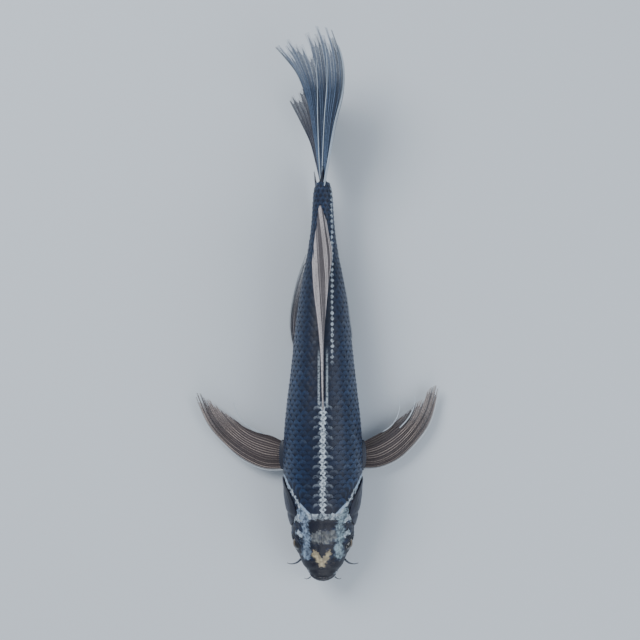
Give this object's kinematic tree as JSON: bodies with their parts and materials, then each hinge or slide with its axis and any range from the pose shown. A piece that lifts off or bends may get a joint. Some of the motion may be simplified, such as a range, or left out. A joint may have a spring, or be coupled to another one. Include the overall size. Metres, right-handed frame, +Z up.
{
  "type": "long-finned carp",
  "caption": "Long-finned carp with a hinged spine, skin shells on rib frames, and moving jaw, gill covers, eyes, barbels and rayed fins, resting on its belly.",
  "frame": {"origin": "on the flat of the belly, in the middle of the fish's width, 150 mm behind the snout", "axes": "+Y from snout to tail, +X to the fish's left, +Z up through the back"},
  "size_m": [0.2762, 0.5995, 0.1151],
  "materials": {
    "skin": "dark slate-blue scaled skin, satin, pale edge on each scale",
    "head": "smooth moist skin, marbled pale grey and black",
    "gill_cover": "smooth moist skin, near black with a slate sheen",
    "gills": "soft deep red",
    "lip": "soft dark skin",
    "eye": "wet gloss, black pupil in a dark gold ring",
    "fin_ray": "pale jointed rays",
    "fin_membrane": "thin smoky film between the rays",
    "frame": "bone colour, matte",
    "pin": "plain steel",
    "swim_bladder": "thin pearly skin"
  },
  "bodies": {
    "front": {"head_shell": "head", "front_skin": "skin", "upper_lip": "lip", "jaw_yoke": "frame", "jaw_pin": "pin", "eye_ring_left": "head", "eye_ring_right": "head", "gill_arches_left": "gills", "gill_arches_right": "gills", "lip_barbel_left": "lip", "lip_barbel_right": "lip", "spine_front": "frame", "shoulder_pin": "pin", "rib_frame_front_1": "frame", "rib_frame_front_2": "frame", "fin_root_pin_left": "pin", "fin_root_pin_right": "pin"},
    "jaw": {"lower_jaw": "head", "lower_lip": "lip"},
    "gill_left": {"gill_cover_left": "gill_cover"},
    "gill_right": {"gill_cover_right": "gill_cover"},
    "eyeball_left": {"eye_left": "eye"},
    "eyeball_right": {"eye_right": "eye"},
    "whisker_left": {"barbel_left": "lip"},
    "whisker_right": {"barbel_right": "lip"},
    "lobe_left": {"fin_root_left": "skin"},
    "lobe_right": {"fin_root_right": "skin"},
    "breast_left": {"breast_fin_left_membrane": "fin_membrane", "breast_fin_left_rays": "fin_ray"},
    "breast_right": {"breast_fin_right_membrane": "fin_membrane", "breast_fin_right_rays": "fin_ray"},
    "mid": {"mid_skin": "skin", "spine_mid": "frame", "hip_pin": "pin", "rib_frame_mid_1": "frame", "rib_frame_mid_2": "frame", "rib_frame_mid_3": "frame", "swim_bladder": "swim_bladder"},
    "pelvic_left": {"pelvic_fin_left_membrane": "fin_membrane", "pelvic_fin_left_rays": "fin_ray"},
    "pelvic_right": {"pelvic_fin_right_membrane": "fin_membrane", "pelvic_fin_right_rays": "fin_ray"},
    "dorsal": {"dorsal_fin_membrane": "fin_membrane", "dorsal_fin_rays": "fin_ray"},
    "rear": {"rear_skin": "skin", "spine_rear": "frame", "stem_pin": "pin", "rib_frame_rear_1": "frame"},
    "anal": {"anal_fin_membrane": "fin_membrane", "anal_fin_rays": "fin_ray"},
    "stem": {"stem_skin": "skin", "spine_stem": "frame", "tail_pin": "pin", "rib_frame_stem_1": "frame"},
    "tail": {"tail_plate": "frame", "tail_fin_upper_membrane": "fin_membrane", "tail_fin_upper_rays": "fin_ray", "tail_fin_lower_membrane": "fin_membrane", "tail_fin_lower_rays": "fin_ray"}
  },
  "joints": [
    {"name": "shoulder_bend", "type": "hinge", "parent": "front", "child": "mid", "pos_m": [0, 0.036, 0.054], "axis": [0, 0, 1], "range_deg": [-14, 14], "stiffness_Nm_per_rad": 0.6},
    {"name": "hip_bend", "type": "hinge", "parent": "mid", "child": "rear", "pos_m": [0, 0.185, 0.054], "axis": [0, 0, 1], "range_deg": [-18, 18], "stiffness_Nm_per_rad": 0.3},
    {"name": "stem_bend", "type": "hinge", "parent": "rear", "child": "stem", "pos_m": [0, 0.23, 0.054], "axis": [0, 0, 1], "range_deg": [-20, 20], "stiffness_Nm_per_rad": 0.2},
    {"name": "tail_bend", "type": "hinge", "parent": "stem", "child": "tail", "pos_m": [0, 0.274, 0.054], "axis": [0, 0, 1], "range_deg": [-24, 24], "stiffness_Nm_per_rad": 0.1},
    {"name": "jaw_open", "type": "hinge", "parent": "front", "child": "jaw", "pos_m": [0, -0.117, 0.022], "axis": [1, 0, 0], "range_deg": [0, 14], "stiffness_Nm_per_rad": 0.1},
    {"name": "gill_cover_left_open", "type": "hinge", "parent": "front", "child": "gill_left", "pos_m": [0.03602, -0.087, 0.043], "axis": [0, 0, -1], "range_deg": [0, 16], "stiffness_Nm_per_rad": 0.02},
    {"name": "gill_cover_right_open", "type": "hinge", "parent": "front", "child": "gill_right", "pos_m": [-0.03602, -0.087, 0.043], "axis": [0, 0, 1], "range_deg": [0, 16], "stiffness_Nm_per_rad": 0.02},
    {"name": "eye_left_turn", "type": "hinge", "parent": "front", "child": "eyeball_left", "pos_m": [0.0246, -0.106, 0.047], "axis": [0, 0, 1], "range_deg": [-12, 12]},
    {"name": "eye_right_turn", "type": "hinge", "parent": "front", "child": "eyeball_right", "pos_m": [-0.0246, -0.106, 0.047], "axis": [0, 0, 1], "range_deg": [-12, 12]},
    {"name": "barbel_left_sway", "type": "hinge", "parent": "front", "child": "whisker_left", "pos_m": [0.0252, -0.129, 0.027], "axis": [0, 0, 1], "range_deg": [-20, 20]},
    {"name": "barbel_right_sway", "type": "hinge", "parent": "front", "child": "whisker_right", "pos_m": [-0.0252, -0.129, 0.027], "axis": [0, 0, 1], "range_deg": [-20, 20]},
    {"name": "breast_fin_left_sweep", "type": "hinge", "parent": "front", "child": "lobe_left", "pos_m": [0.026, -0.015, 0.016], "axis": [0, 0, 1], "range_deg": [-10, 20]},
    {"name": "breast_fin_right_sweep", "type": "hinge", "parent": "front", "child": "lobe_right", "pos_m": [-0.026, -0.015, 0.016], "axis": [0, 0, -1], "range_deg": [-10, 20]},
    {"name": "breast_fin_left_flap", "type": "hinge", "parent": "lobe_left", "child": "breast_left", "pos_m": [0.042, -0.015, 0.016], "axis": [0, -1, 0], "range_deg": [-15, 30], "stiffness_Nm_per_rad": 0.15},
    {"name": "breast_fin_right_flap", "type": "hinge", "parent": "lobe_right", "child": "breast_right", "pos_m": [-0.042, -0.015, 0.016], "axis": [0, 1, 0], "range_deg": [-15, 30], "stiffness_Nm_per_rad": 0.15},
    {"name": "pelvic_fin_left_spread", "type": "hinge", "parent": "mid", "child": "pelvic_left", "pos_m": [0.019, 0.078, 0.0032], "axis": [0, 0, -1], "range_deg": [0, 20]},
    {"name": "pelvic_fin_right_spread", "type": "hinge", "parent": "mid", "child": "pelvic_right", "pos_m": [-0.019, 0.078, 0.0032], "axis": [0, 0, 1], "range_deg": [0, 20]},
    {"name": "dorsal_fin_raise", "type": "hinge", "parent": "mid", "child": "dorsal", "pos_m": [0, 0.042, 0.0992], "axis": [0, 0.9908, -0.135], "range_deg": [0, 40]},
    {"name": "anal_fin_sway", "type": "hinge", "parent": "rear", "child": "anal", "pos_m": [0, 0.181, 0.0186], "axis": [0, 0.9635, 0.2676], "range_deg": [-20, 20]}
  ],
  "couplings": [
    {"joint": "gill_cover_right_open", "follows": "gill_cover_left_open", "ratio": 1}
  ]
}
